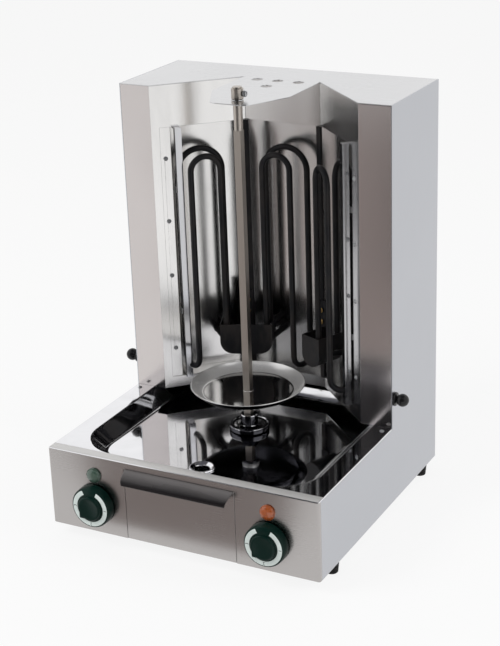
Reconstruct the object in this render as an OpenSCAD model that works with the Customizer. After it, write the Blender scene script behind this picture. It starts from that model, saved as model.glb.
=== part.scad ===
// Compact electric skewer grill: a sheet-steel base with a drip basin and a drawer, two hollow
// columns with a polished heating chamber between them, and an upright turning spit.
// Millimetres, +Z up. The front panel faces -Y. Modules are written with Y counted from the
// outer face of the front panel and Z from the floor; placed() moves them to the part's frame,
// whose origin is on the floor at the centre of the bounding box.

/* [Body] */
// Width over the side panels
body_w = 400; // [380:1:420]
// Depth from front panel to back panel
body_d = 396; // [386:1:410]
// Height from the underside of the base to the top plate
body_h = 556; // [540:1:580]
// Height of the base up to the rim of the basin
base_h = 112; // [108:1:118]
// Height of the rubber feet
foot_h = 18; // [14:1:24]
// Sheet thickness of the casing
sheet = 1.2; // [1:0.1:1.5]

/* [Columns and chamber] */
// Front face of the two columns, from the front panel
column_y = 234; // [230:1:240]
// Width of each column's front face
column_w = 46; // [42:1:50]
// Half width of the chamber's rear wall and of the top plate's tongue
tongue_half = 57; // [54:1:60]
// Face of the chamber's rear wall
rear_y = 328; // [324:1:332]
// Height of the polished header above the heaters
header_h = 60; // [54:1:66]
// Height of the band under the heaters
band_h = 16; // [14:1:18]
// Depth of the reflectors behind the chamber walls
reflector_t = 28; // [24:1:30]

/* [Basin] */
// Half width of the basin at its rim
basin_half = 170; // [166:1:174]
// Front edge of the basin at its rim
basin_front = 18; // [14:1:20]
// Rear edge of the basin at its rim
basin_rear = 340; // [336:1:344]
// Depth of the basin
basin_depth = 21; // [18:1:22]
// Width of the basin's sloping wall
basin_slope = 22; // [18:1:24]
// Place of the drain, from the front panel
drain_y = 64; // [60:1:70]

/* [Spit] */
// Axis of the spit, from the front panel
spit_y = 200; // [196:1:204]
// Side of the square rod
rod_w = 10; // [8:1:10]
// Radius of the round dish
dish_r = 79; // [74:1:84]
// Height of the dish's underside above the floor
dish_z = 166; // [162:1:172]
// Height of the dish's wall
dish_h = 12; // [10:1:14]
// Length of rod that stands above the top plate
rod_over = 17; // [16:1:22]

/* [Heaters] */
// Outside diameter of the heating tubes
tube_d = 8.5; // [7:0.5:8.5]
// Half width of the front loop
front_half = 21; // [20:1:22]
// Half width of the rear loop
rear_half = 32; // [30:1:33]
// Top of the loops, above the floor
loop_top = 483; // [478:1:486]
// Bottom of the loops, above the floor
loop_bottom = 160; // [158:1:164]

/* [Controls] */
// Distance of knobs and lamps from the middle
knob_x = 129; // [126:1:132]
// Height of the knobs above the floor
knob_z = 60; // [59:1:62]
// Diameter of the knobs
knob_d = 58; // [54:1:60]
// Reach of the knobs in front of the panel
knob_out = 19; // [18:1:22]
// Height of the lamps above the floor
lamp_z = 102; // [100:1:104]
// Diameter of the lamp lenses
lamp_d = 21; // [17:1:21]

/* [Drawer] */
// Half width of the drawer opening
drawer_half = 82; // [80:1:84]
// Height of the drawer front
drawer_h = 103; // [101:1:104]
// Length of the drawer's pan
pan_l = 148; // [130:1:150]
// Reach of the drawer's handle
handle_out = 18; // [14:1:18]

/* [Hidden] */
$fn = 48;
eps = 0.02;

// heights above the floor and faces from the front panel
base_z = foot_h;
rim_z = base_z + base_h;
top_z = base_z + body_h;
inner_x = body_w / 2 - sheet;
floor_z = rim_z - basin_depth;
window_low = rim_z + band_h;
window_high = top_z - header_h;
gland_out = 14;
frame_y = (body_d + gland_out - knob_out) / 2;

// the left chamber wall: it starts at the column's inner edge and ends at the rear wall
wall_start = [-(body_w / 2 - column_w), column_y];
wall_end = [-tongue_half, rear_y];
wall_l = norm(wall_end - wall_start);
wall_turn = atan2(wall_end.y - wall_start.y, wall_end.x - wall_start.x);
wall_along = (wall_end - wall_start) / wall_l;
wall_out = [-wall_along.y, wall_along.x];

// heating tubes
tube_r = tube_d / 2;
front_t = -26;
rear_t = 6;
end_t = reflector_t + 14;
low_end_z = loop_bottom + 40;
high_end_z = loop_bottom + 54;
bend_r = 9;
post_w = 9;
post_t = 9;
bar_w = 8;
bar_t = 4;

// parts that turn or slide
shaft_r = 5;
running = 0.05;
hub_z = floor_z + 4;
hub_h = 5;
socket_h = 14;
journal_r = 6;
journal_l = 40;
bearing_r = 8;
collar_r = 8;
collar_h = 14;
clamp_y = column_y + 8;
clamp_z = 171;
knob_shaft_r = 3;
regulator_w = 42;
gland_x = 140;
gland_z = 60;
foot_x = 188;
foot_rows = [60, 366];
edge_r = 3;
deck_screw = [190, 222];

steel = [0.78, 0.78, 0.79];
polished = [0.88, 0.88, 0.89];
grey = [0.66, 0.65, 0.64];
black = [0.06, 0.06, 0.07];
zinc = [0.6, 0.61, 0.62];

// a point of the left wall's own plan frame, along the wall and out of the chamber
function on_wall(along, out) = wall_start + along * wall_along + out * wall_out;
// where a line parallel to the wall, set out by `out`, meets the rear line set back as far
function wall_corner(out) =
    let (along = (rear_y + out - wall_start.y - out * wall_out.y) / wall_along.y)
    on_wall(along, out);
function mirrored(p) = [-p.x, p.y];

module placed() translate([0, -frame_y, 0]) children();
module block(low, high) translate(low) cube(high - low);
module left_wall() translate([wall_start.x, wall_start.y, 0]) rotate(wall_turn) children();
module right_wall() mirror([1, 0, 0]) left_wall() children();
module rear_wall() translate([-tongue_half, rear_y, 0]) children();
module both_sides() { children(); mirror([1, 0, 0]) children(); }
// a bar along Y whose section is drawn in X and Z
module along_y(y0, y1) translate([0, y1, 0]) rotate([90, 0, 0]) linear_extrude(y1 - y0) children();
// a bar along X whose section is drawn in Y and Z
module along_x(x0, x1) translate([x0, 0, 0]) rotate([90, 0, 90]) linear_extrude(x1 - x0) children();
module rod_y(x, z, r, y0, y1) translate([x, y1, z]) rotate([90, 0, 0]) cylinder(r = r, h = y1 - y0);
module rod_x(y, z, r, x0, x1) translate([x0, y, z]) rotate([0, 90, 0]) cylinder(r = r, h = x1 - x0);
module rod_z(p, r, z0, z1) translate([p.x, p.y, z0]) cylinder(r = r, h = z1 - z0);

// ---------------------------------------------------------------- casing

screw_r = 1.6;
head_r = 3.2;
back_screw_z = [40, 150, 300, 450, 556];
back_screw_x = inner_x - 8;

// plan of the casing with rounded front corners, set in by `inset`
module casing_plan(inset, rear) hull() {
    for (x = [edge_r - body_w / 2, body_w / 2 - edge_r]) translate([x, edge_r]) circle(r = edge_r - inset, $fn = 24);
    translate([inset - body_w / 2, edge_r]) square([body_w - 2 * inset, rear - edge_r]);
}
module base_plate() placed() color(grey) difference() {
    translate([0, 0, base_z]) linear_extrude(sheet) casing_plan(sheet, body_d - sheet);
    for (x = [-foot_x, foot_x], y = foot_rows) rod_z([x, y], 2.7, base_z - 1, base_z + sheet + 1);
    for (i = [0 : 6], y = [262, 292])
        translate([-48 + 16 * i, y, base_z - 1]) cube([5, 22, sheet + 2]);
}

// one side of the casing: an L-shaped sheet with flanges folded inwards at the back and below
side_y = 2 * edge_r;
module side_panel() difference() {
    union() {
        along_x(inner_x, body_w / 2) polygon([
            [side_y, base_z], [body_d, base_z], [body_d, top_z], [column_y, top_z],
            [column_y, rim_z - sheet], [side_y, rim_z - sheet]
        ]);
        block([inner_x - 14, body_d - 2 * sheet, base_z + 4], [inner_x, body_d - sheet, top_z - 4]);
        block([inner_x - 18, side_y + 1, base_z + sheet],
              [inner_x, body_d - 4 * sheet, base_z + 2 * sheet]);
    }
    for (y = foot_rows) rod_z([foot_x, y], 2.7, base_z, base_z + 3 * sheet);
    rod_x(clamp_y, clamp_z, 3.3, inner_x - 1, body_w / 2 + 1);
    for (z = back_screw_z) rod_y(back_screw_x, z, screw_r, body_d - 4, body_d + 1);
}
module left_side_panel() placed() color(steel) mirror([1, 0, 0]) side_panel();
module right_side_panel() placed() color(steel) side_panel();

// front panel, bent round both front corners
module front_panel() placed() color(grey) difference() {
    translate([0, 0, base_z]) linear_extrude(base_h - sheet) difference() {
        casing_plan(0, side_y);
        casing_plan(sheet, side_y + 1);
    }
    block([-drawer_half, -1, base_z - 1], [drawer_half, sheet + 1, base_z + drawer_h]);
    for (x = [-knob_x, knob_x]) {
        rod_y(x, knob_z, 5, -1, sheet + 1);
        rod_y(x, lamp_z, 7, -1, sheet + 1);
    }
}

module rounded_plan(half, front, rear, r, z, h)
    for (x = [-half + r, half - r], y = [front + r, rear - r])
        translate([x, y, z]) cylinder(r = r, h = h, $fn = 32);
basin_r = 60;
// the basin's hollow, grown by `skin` on every side
module basin_hollow(skin) hull() {
    rounded_plan(basin_half + skin, basin_front - skin, basin_rear + skin, basin_r + skin, rim_z - eps, eps);
    rounded_plan(basin_half - basin_slope + skin, basin_front + basin_slope - skin,
                 basin_rear - basin_slope + skin, basin_r - 18 + skin, floor_z - skin, eps);
}
module basin() placed() color(polished) difference() {
    union() {
        translate([0, 0, rim_z - sheet]) linear_extrude(sheet) {
            casing_plan(0, column_y);
            translate([-inner_x, edge_r]) square([2 * inner_x, body_d - sheet - edge_r]);
        }
        basin_hollow(sheet);
    }
    hull() {
        basin_hollow(0);
        translate([0, 0, eps]) basin_hollow(0);
    }
    block([-body_w, 0, rim_z], [body_w, body_d, rim_z + 1]);
    block([inner_x - 15, body_d - 2 * sheet, rim_z - 2], [inner_x + 1, body_d, rim_z + 2]);
    block([-inner_x - 1, body_d - 2 * sheet, rim_z - 2], [-inner_x + 15, body_d, rim_z + 2]);
    rod_z([0, drain_y], 12.2, floor_z - 3, floor_z + 1);
    rod_z([0, spit_y], 8.2, floor_z - 3, floor_z + 1);
    for (x = [-deck_screw.x, deck_screw.x]) rod_z([x, deck_screw.y], screw_r, rim_z - 3, rim_z + 1);
}

module back_panel() placed() color(grey) difference() {
    block([-inner_x, body_d - sheet, base_z], [inner_x, body_d, top_z - sheet]);
    for (x = [-back_screw_x, back_screw_x], z = back_screw_z)
        rod_y(x, z, screw_r, body_d - 3, body_d + 1);
    rod_y(gland_x, gland_z, 8.1, body_d - 3, body_d + 1);
    for (i = [0 : 6], z = [70, 500]) block([-60 + 18 * i, body_d - 3, z], [-54 + 18 * i, body_d + 1, z + 34]);
}

// column front, mitred where it meets the chamber wall, with a flange folded back behind it
module column_front() {
    difference() {
        block([body_w / 2 - column_w, column_y, rim_z], [inner_x, column_y + sheet, top_z - sheet]);
        right_wall() block([0, -1, rim_z - 1], [3, 3, top_z]);
    }
    block([inner_x - 10, column_y + sheet, rim_z + 80],
          [inner_x - 9, column_y + sheet + 12, top_z - 30]);
}
module left_column_front() placed() color(steel) mirror([1, 0, 0]) column_front();
module right_column_front() placed() color(steel) column_front();

// top plate: a notch on each side of a tongue, whose nose carries the spit's upper bearing
nose_r = 12;
nose_y = 173;
nose_half = 26;
nose_c = [nose_half - nose_r * 0.6, nose_y + nose_r];
shoulder = [tongue_half, column_y + 1];
nose_reach = shoulder - nose_c;
nose_turn = atan2(nose_reach.y, nose_reach.x) - acos(nose_r / norm(nose_reach));
nose_touch = nose_c + nose_r * [cos(nose_turn), sin(nose_turn)];

module top_plate() placed() color(steel) difference() {
    translate([0, 0, top_z - sheet]) linear_extrude(sheet) difference() {
        union() {
            polygon([
                [-inner_x, column_y], wall_start, wall_end, mirrored(shoulder),
                mirrored(nose_touch), mirrored(nose_c), [-nose_c.x, nose_y], [nose_c.x, nose_y],
                nose_c, nose_touch, shoulder, mirrored(wall_end), mirrored(wall_start),
                [inner_x, column_y], [inner_x, body_d], [-inner_x, body_d]
            ]);
            for (x = [-nose_c.x, nose_c.x]) translate([x, nose_c.y]) circle(r = nose_r);
        }
        translate([0, spit_y]) circle(r = bearing_r);
        for (p = [[-31, 316], [0, 316], [31, 316], [0, 282]]) translate(p) circle(r = 7.5);
    }
}

// ---------------------------------------------------------------- heating chamber

// a wall of the chamber, drawn along X: header above, band below, and a strip at the column
module chamber_wall(length, strip) {
    block([0, 0, window_high], [length, sheet, top_z - sheet]);
    block([0, 0, rim_z], [length, sheet, window_low]);
    if (strip > 0) block([0, 0, window_low], [strip, sheet, window_high]);
}
strip_w = 12;
module left_chamber_wall() placed() color(polished) left_wall() chamber_wall(wall_l, strip_w);
module right_chamber_wall() placed() color(polished) right_wall() chamber_wall(wall_l, strip_w);
module rear_chamber_wall() placed() color(polished) rear_wall() chamber_wall(2 * tongue_half, 0);

// ring-shaped shelf between the chamber walls and the reflectors
module chamber_shelf(z) {
    inner = wall_corner(sheet);
    outer = wall_corner(reflector_t + 1);
    near = on_wall(4, sheet);
    far = on_wall(4, reflector_t + 1);
    translate([0, 0, z]) linear_extrude(sheet) polygon([
        near, inner, mirrored(inner), mirrored(near), mirrored(far), mirrored(outer), outer, far
    ]);
}
module chamber_ceiling() placed() color(polished) chamber_shelf(window_high);
module chamber_floor() placed() color(polished) chamber_shelf(window_low - sheet);

flange_end = 27;
chamber_screw_z = [190, 300, 380, 470];
// side reflector: a flange behind the wall's strip, a step back, and the mirror itself
module side_reflector() difference() {
    union() {
        block([5, sheet, window_low], [flange_end, sheet + 1, window_high]);
        block([flange_end - 1, sheet + 1, window_low], [flange_end, reflector_t, window_high]);
        block([flange_end - 1, reflector_t, window_low],
              [norm(wall_corner(reflector_t) - on_wall(0, reflector_t)) - 0.5, reflector_t + 1, window_high]);
    }
    for (z = chamber_screw_z) rod_y(19, z, screw_r, 0, 4);
    heater_holes(wall_l / 2, 1);
}
module left_reflector() placed() color(polished) left_wall() side_reflector();
module right_reflector() placed() color(polished) right_wall() side_reflector();
module rear_reflector() placed() color(polished) difference() {
    half = -wall_corner(reflector_t).x;
    block([-half, rear_y + reflector_t, window_low], [half, rear_y + reflector_t + 1, window_high]);
    rear_wall() heater_holes(tongue_half, -1);
}

// holes for a heater's two ends; side is 1 or -1 for the side of the loops that the ends are on
module heater_holes(mid, side) {
    rod_y(mid + side * front_half, low_end_z, tube_r + 0.5, reflector_t - 2, reflector_t + 3);
    rod_y(mid + side * rear_half, high_end_z, tube_r + 0.5, reflector_t - 2, reflector_t + 3);
}

// half ring of tube standing on two plan points, curved up (1) or down (-1)
module tube_arch(a, b, z, up, skin = 0) {
    r = norm(b - a) / 2;
    mid = (a + b) / 2;
    translate([mid.x, mid.y, z]) rotate(atan2(b.y - a.y, b.x - a.x)) rotate([up > 0 ? 90 : -90, 0, 0])
        rotate_extrude(angle = 180) translate([r, 0]) circle(r = tube_r + skin, $fn = 24);
}
turn_z = loop_bottom + tube_r + norm([rear_half - front_half, rear_t - front_t]) / 2;
// the turn below, from the front loop's shut side to the rear loop's
module heater_turn(mid, side, skin)
    tube_arch([mid - side * front_half, front_t], [mid - side * rear_half, rear_t], turn_z, -1, skin);
// quarter bend from a leg going down to a run going back along +Y
module tube_bend(p, z) translate([p.x, p.y + bend_r, z + bend_r]) rotate([0, 90, 0])
    rotate([0, 0, 270]) rotate_extrude(angle = 90) translate([bend_r, 0]) circle(r = tube_r, $fn = 24);

// one heating element: a front loop and a wider rear loop, joined below on one side,
// with both ends led out through the reflector on the other side
module heater(mid, side) {
    near_open = [mid + side * front_half, front_t];
    near_shut = [mid - side * front_half, front_t];
    far_open = [mid + side * rear_half, rear_t];
    far_shut = [mid - side * rear_half, rear_t];
    near_top = loop_top - 4 - tube_r - front_half;
    far_top = loop_top - tube_r - rear_half;
    tube_arch(near_shut, near_open, near_top, 1);
    tube_arch(far_shut, far_open, far_top, 1);
    heater_turn(mid, side, 0);
    rod_z(near_shut, tube_r, turn_z, near_top);
    rod_z(far_shut, tube_r, turn_z, far_top);
    rod_z(near_open, tube_r, low_end_z + bend_r, near_top);
    rod_z(far_open, tube_r, high_end_z + bend_r, far_top);
    tube_bend(near_open, low_end_z);
    tube_bend(far_open, high_end_z);
    rod_y(near_open.x, low_end_z, tube_r, near_open.y + bend_r, end_t);
    rod_y(far_open.x, high_end_z, tube_r, far_open.y + bend_r, end_t);
}
module left_heater() placed() color(black) left_wall() heater(wall_l / 2, 1);
module right_heater() placed() color(black) right_wall() heater(wall_l / 2, 1);
module rear_heater() placed() color(black) rear_wall() heater(tongue_half, -1);

// insulator and stud on each heater end
module terminal_pair(mid, side) {
    ends = [[mid + side * front_half, low_end_z], [mid + side * rear_half, high_end_z]];
    for (p = ends) {
        rod_y(p.x, p.y, 5.5, end_t, end_t + 5);
        rod_y(p.x, p.y, 2, end_t + 5, end_t + 12);
    }
}
module heater_terminals() placed() color("ivory") {
    both_sides() left_wall() terminal_pair(wall_l / 2, 1);
    rear_wall() terminal_pair(tongue_half, -1);
}

// polished upright posts inside the side openings, with a foot at each end under the shelves,
// notched low down where the heating tube turns past them
post_x = wall_l / 2 - rear_half;
module heater_posts() placed() color(polished) both_sides() left_wall() difference() {
    union() {
        block([post_x - post_w / 2, -1 - post_t, window_low], [post_x + post_w / 2, -1, window_high]);
        for (z = [window_low, window_high - 3])
            block([post_x - post_w / 2, -1, z], [post_x + post_w / 2, 9, z + 3]);
    }
    heater_turn(wall_l / 2, 1, 0.7);
}
clip_z = [240, 420];
// clips around the outer legs, screwed to the posts in front of them
module heater_clips() placed() color(zinc) both_sides() left_wall() for (z = clip_z) difference() {
    union() {
        rod_z([post_x, rear_t], tube_r + 1.6, z, z + 8);
        block([post_x - 3, -1, z], [post_x + 3, rear_t, z + 8]);
    }
    rod_z([post_x, rear_t], tube_r + 0.3, z - 1, z + 9);
}

// flat bars in the two rear corners, which hold the rear element and the terminal covers
corner_turn = wall_turn / 2;
bar_face = -1 - bar_t;
module corner_frame() translate([wall_end.x, wall_end.y, 0]) rotate(corner_turn) children();
module corner_bars() placed() color(black) both_sides() corner_frame()
    block([-bar_w / 2, bar_face, window_low], [bar_w / 2, -1, window_high]);

// trough-shaped cover around the heater ends, open above and behind, with round lower corners,
// and a strap with two domed screws that fixes it to the corner bar
cover_low = 184;
cover_high = 228;
cover_deep = 50;
cover_r = 18;
strap_high = 266;
module cover_shape(x0, x1, skin, high) {
    r = min(cover_r, (x1 - x0) / 2 - 1);
    translate([x0 + skin, cover_low + r]) square([x1 - x0 - 2 * skin, high - cover_low - r]);
    translate([x0 + r, cover_low + skin]) square([x1 - x0 - 2 * r, r]);
    for (x = [x0 + r, x1 - r]) translate([x, cover_low + r]) circle(r = r - skin);
}
module lead_clearance() {
    left_wall() rod_y(wall_l / 2 + front_half, low_end_z, tube_r + 0.6, front_t, 20);
    rear_wall() rod_y(tongue_half - front_half, low_end_z, tube_r + 0.6, front_t, 20);
}
module terminal_cover(x0, x1) {
    difference() {
        corner_frame() along_y(-cover_deep, bar_face) cover_shape(x0, x1, 0, cover_high);
        corner_frame() along_y(-cover_deep + sheet, bar_face + 1) cover_shape(x0, x1, sheet, cover_high + 1);
        lead_clearance();
    }
    corner_frame() {
        block([-12, bar_face - 3, cover_low + sheet / 2], [2, bar_face, strap_high]);
        for (z = [strap_high - 14, strap_high - 31]) rod_y(-5, z, 4, bar_face - 5, bar_face - 3);
    }
}
module left_terminal_cover() placed() color(black) terminal_cover(-42.5, 32);
module right_terminal_cover() placed() color(black) mirror([1, 0, 0]) terminal_cover(-42.5, -8);

// ---------------------------------------------------------------- drive and spit

bracket_z = 88;
gear_half = 33;
module gear_motor() placed() color(zinc) difference() {
    union() {
        block([-gear_half, spit_y - gear_half, bracket_z - 24], [gear_half, spit_y + gear_half, bracket_z]);
        rod_z([0, spit_y], 26, base_z + sheet + 6, bracket_z - 24);
        for (x = [-9, 9]) block([x - 2, spit_y + 25.5, 40], [x + 2, spit_y + 32, 52]);
    }
    rod_z([0, spit_y], shaft_r + running, bracket_z - 16, bracket_z + 1);
}
module motor_bracket() placed() color(zinc) difference() {
    union() {
        block([-62, spit_y - 36, bracket_z], [62, spit_y + 36, bracket_z + 2]);
        both_sides() block([60, spit_y - 36, base_z + sheet], [62, spit_y + 36, bracket_z]);
        both_sides() block([62, spit_y - 36, base_z + sheet], [76, spit_y + 36, base_z + 2 * sheet]);
    }
    rod_z([0, spit_y], 9, bracket_z - 1, bracket_z + 3);
}
module shaft_bush() placed() color("darkgoldenrod") difference() {
    union() {
        rod_z([0, spit_y], 8, floor_z - 14, floor_z);
        rod_z([0, spit_y], 13, floor_z, floor_z + 2.5);
    }
    rod_z([0, spit_y], shaft_r + running, floor_z - 15, floor_z + 3);
}
module drive_shaft() placed() color(zinc) rod_z([0, spit_y], shaft_r, bracket_z - 15, hub_z);
module drive_hub() placed() color(polished) difference() {
    union() {
        rod_z([0, spit_y], 27.5, hub_z, hub_z + hub_h);
        rod_z([0, spit_y], 12, hub_z, hub_z + hub_h + socket_h);
    }
    socket = rod_w + 0.4;
    translate([-socket / 2, spit_y - socket / 2, hub_z + hub_h]) cube([socket, socket, socket_h + 1]);
}
rod_low = hub_z + hub_h;
journal_z = top_z - journal_l;
rod_high = top_z + rod_over;
module spit_rod() placed() color(steel) {
    block([-rod_w / 2, spit_y - rod_w / 2, rod_low], [rod_w / 2, spit_y + rod_w / 2, journal_z]);
    rod_z([0, spit_y], journal_r, journal_z, rod_high);
}
// shallow bowl on the rod, flat in the middle and rising ever steeper to its edge, with a square
// collar below
dish_flat = 62;
function dish_rise(r) = (dish_h - 1.4) * pow((r - dish_flat) / (dish_r - dish_flat), 2);
module spit_dish() placed() color(polished) difference() {
    translate([0, spit_y, dish_z]) {
        rotate_extrude() polygon(concat(
            [[0, 1.4], [0, 0]],
            [for (i = [0 : 6]) let (r = dish_flat + (dish_r - dish_flat) * i / 6) [r, dish_rise(r)]],
            [[dish_r, dish_h]],
            [for (i = [6 : -1 : 0]) let (r = dish_flat + (dish_r - 1 - dish_flat) * i / 6) [r, dish_rise(r) + 1.4]]
        ));
        translate([0, 0, -8]) cylinder(r = 12, h = 8);
    }
    block([-rod_w / 2, spit_y - rod_w / 2, dish_z - 9], [rod_w / 2, spit_y + rod_w / 2, dish_z + 3]);
}
// flanged bush in the tongue, in which the round end of the rod turns
module top_bearing() placed() color("dimgray") difference() {
    union() {
        rod_z([0, spit_y], bearing_r, top_z - 6, top_z + 0.8);
        rod_z([0, spit_y], bearing_r + 3, top_z - 6, top_z - sheet);
    }
    rod_z([0, spit_y], journal_r + 0.1, top_z - 7, top_z + 2);
}
collar_z = top_z + 1.2;
screw_z = collar_z + collar_h / 2;
module top_collar() placed() color(steel) difference() {
    rod_z([0, spit_y], collar_r, collar_z, collar_z + collar_h);
    rod_z([0, spit_y], journal_r + 0.02, collar_z - 1, collar_z + collar_h + 1);
    rod_x(spit_y, screw_z, 2, 0, collar_r + 1);
}
module thumb_screw() placed() color(zinc) {
    rod_x(spit_y, screw_z, 1.95, journal_r + 0.2, collar_r + 0.6);
    rod_x(spit_y, screw_z, 4, collar_r + 0.6, collar_r + 5);
}
// flanged spout that lets the basin drain into the drawer
module drain_spout() placed() color(polished) difference() {
    union() {
        rod_z([0, drain_y], 12, floor_z - 22, floor_z);
        rod_z([0, drain_y], 17.5, floor_z, floor_z + 2.5);
    }
    rod_z([0, drain_y], 10, floor_z - 23, floor_z + 3);
}

// ---------------------------------------------------------------- drawer

gap = 0.6;
front_high = base_z + drawer_h - gap;
module drawer_front() placed() color(grey) {
    block([-drawer_half + gap, 0, base_z + gap], [drawer_half - gap, sheet, front_high]);
    both_sides() block([drawer_half - gap - 1, sheet, base_z + 4], [drawer_half - gap, sheet + 3, front_high - 4]);
}
// bent lip along the drawer's top edge: it leans forwards and is hemmed along its edge
module drawer_handle() placed() color([0.3, 0.3, 0.31]) difference() {
    along_x(-drawer_half + 2, drawer_half - 2) polygon([
        [0, front_high - 1], [0, front_high - 4.5], [-handle_out + 3, front_high - 10.5],
        [-handle_out + 2.5, front_high - 16], [-handle_out + 1, front_high - 16],
        [-handle_out, front_high - 14], [-handle_out, front_high - 10.5],
        [-handle_out + 2, front_high - 8], [-1.5, front_high - 1]
    ]);
    for (side = [-1, 1]) translate([side * (drawer_half - 2), -handle_out - 1, front_high])
        rotate([0, side * 16, 0]) translate([side * 3 - 3, 0, -24]) cube([6, handle_out, 30]);
}
pan_half = 76;
pan_low = base_z + 6;
pan_high = 82;
module drawer_pan() placed() color(steel) difference() {
    block([-pan_half, sheet, pan_low], [pan_half, pan_l, pan_high]);
    block([-pan_half + sheet, 2 * sheet, pan_low + sheet], [pan_half - sheet, pan_l - sheet, pan_high + 1]);
}
// angle runners on the base plate, under the pan's two long edges
module drawer_runners() placed() color(zinc) both_sides() along_y(6, pan_l + 6) polygon([
    [pan_half - 12, base_z + sheet], [pan_half + 3, base_z + sheet], [pan_half + 3, base_z + 20],
    [pan_half + 1, base_z + 20], [pan_half + 1, pan_low - 0.3], [pan_half - 12, pan_low - 0.3]
]);

// ---------------------------------------------------------------- controls

module regulator() difference() {
    union() {
        block([-regulator_w / 2, sheet, knob_z - regulator_w / 2],
              [regulator_w / 2, sheet + 32, knob_z + regulator_w / 2 - 2]);
        for (x = [-12, 0, 12]) block([x - 3, sheet + 32, knob_z + 4], [x + 3, sheet + 41, knob_z + 5]);
    }
    rod_y(0, knob_z, knob_shaft_r + running, 0, sheet + 20);
}
module left_regulator() placed() color([0.2, 0.2, 0.21]) translate([-knob_x, 0, 0]) regulator();
module right_regulator() placed() color([0.2, 0.2, 0.21]) translate([knob_x, 0, 0]) regulator();

// round knob with a raised grip that ends in a pointer corner, low on the left at rest;
// its axis is drawn along Z and turned to -Y
grip_r = 17;
grip_corner = 15.5;
face_out = knob_out - 4;
module knob() translate([0, 0, knob_z]) rotate([90, 0, 0]) difference() {
    union() {
        rotate_extrude() polygon([
            [0, 1], [knob_d / 2, 1], [knob_d / 2, 4], [knob_d / 2 - 0.8, face_out - 1.2],
            [knob_d / 2 - 2, face_out], [0, face_out]
        ]);
        translate([0, 0, face_out - eps]) linear_extrude(knob_out - face_out + eps) union() {
            circle(r = grip_r);
            translate([-grip_corner, -grip_corner]) square(grip_corner);
        }
    }
    translate([0, 0, -1]) cylinder(r = knob_shaft_r + 0.02, h = 14);
}
module left_knob() placed() color([0.02, 0.09, 0.07]) translate([-knob_x, 0, 0]) knob();
module right_knob() placed() color([0.02, 0.09, 0.07]) translate([knob_x, 0, 0]) knob();
module left_knob_shaft() placed() color(zinc) rod_y(-knob_x, knob_z, knob_shaft_r, -12.5, sheet + 18);
module right_knob_shaft() placed() color(zinc) rod_y(knob_x, knob_z, knob_shaft_r, -12.5, sheet + 18);

module lamp() translate([0, 0, lamp_z]) rotate([90, 0, 0]) {
    rotate_extrude() polygon([
        [0, 0], [lamp_d / 2, 0], [lamp_d / 2, 2], [lamp_d / 2 - 1.2, 4], [5, 5.2], [0, 5.5]
    ]);
    translate([0, 0, -6]) cylinder(r = 6.6, h = 6);
}
module green_lamp() placed() color([0.25, 0.42, 0.33]) translate([-knob_x, 0, 0]) lamp();
module orange_lamp() placed() color([0.85, 0.33, 0.12]) translate([knob_x, 0, 0]) lamp();
module lamp_housings() placed() color(black) both_sides() difference() {
    rod_y(knob_x, lamp_z, 9, sheet, 21);
    rod_y(knob_x, lamp_z, 6.8, 0, 6.2);
}

// ball-ended clamp knob on a side panel, with a stud that reaches a nut inside the column
module clamp_knob() {
    rod_x(clamp_y, clamp_z, 3, inner_x - 12, body_w / 2 + 6);
    translate([body_w / 2 + 0.3, clamp_y, clamp_z]) rotate([0, 90, 0]) rotate_extrude() difference() {
        union() {
            polygon([[0, 0], [9.5, 0], [9.5, 3], [4.5, 5], [4.5, 10], [0, 10]]);
            translate([0, 11.5]) circle(r = 8.8);
        }
        translate([-12, -1]) square([12, 24]);
        translate([-1, -2]) square([12, 2]);
    }
}
module left_clamp_knob() placed() color(black) mirror([1, 0, 0]) clamp_knob();
module right_clamp_knob() placed() color(black) clamp_knob();
module clamp_nuts() placed() color(zinc) both_sides() difference() {
    rod_x(clamp_y, clamp_z, 6.5, inner_x - 6, inner_x);
    rod_x(clamp_y, clamp_z, 3 + running, inner_x - 7, inner_x + 1);
}

// ---------------------------------------------------------------- electrics and fasteners

module terminal_block() placed() color("white") {
    block([-128, 322, base_z + sheet], [-72, 344, base_z + sheet + 6]);
    for (i = [0 : 3]) block([-126 + 14 * i, 324, base_z + sheet + 6], [-116 + 14 * i, 342, base_z + sheet + 18]);
}
module cable_gland() placed() color([0.15, 0.15, 0.16]) difference() {
    union() {
        rod_y(gland_x, gland_z, 8, body_d - sheet, body_d);
        rod_y(gland_x, gland_z, 11, body_d, body_d + 5);
        rod_y(gland_x, gland_z, 9, body_d + 5, body_d + gland_out);
        rod_y(gland_x, gland_z, 10.5, body_d - sheet - 5, body_d - sheet);
    }
    rod_y(gland_x, gland_z, 4, body_d - 12, body_d + gland_out + 1);
}
wire_r = 2.5;
wire_z = base_z + 9;
// insulated leads inside the base, from the terminal block to the regulators
module wire_run(points) for (i = [0 : len(points) - 2]) {
    span = points[i + 1] - points[i];
    tilt = acos(span.z / norm(span));
    translate(points[i]) rotate([0, tilt, atan2(span.y, span.x)]) cylinder(r = wire_r, h = norm(span), $fn = 16);
    if (i > 0) translate(points[i]) sphere(r = wire_r, $fn = 16);
}
module wiring() placed() color("saddlebrown") {
    wire_run([[-100, 322, wire_z], [-100, 70, wire_z], [-122, 70, wire_z], [-122, 70, 52], [-122, sheet + 32, 52]]);
    wire_run([[-72, 333, wire_z], [104, 333, wire_z], [104, 70, wire_z], [122, 70, wire_z], [122, 70, 52],
              [122, sheet + 32, 52]]);
    wire_run([[-118, 344, wire_z], [-118, 364, wire_z], [gland_x, 364, wire_z], [gland_x, 364, gland_z],
              [gland_x, body_d - 8, gland_z]]);
}
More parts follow.
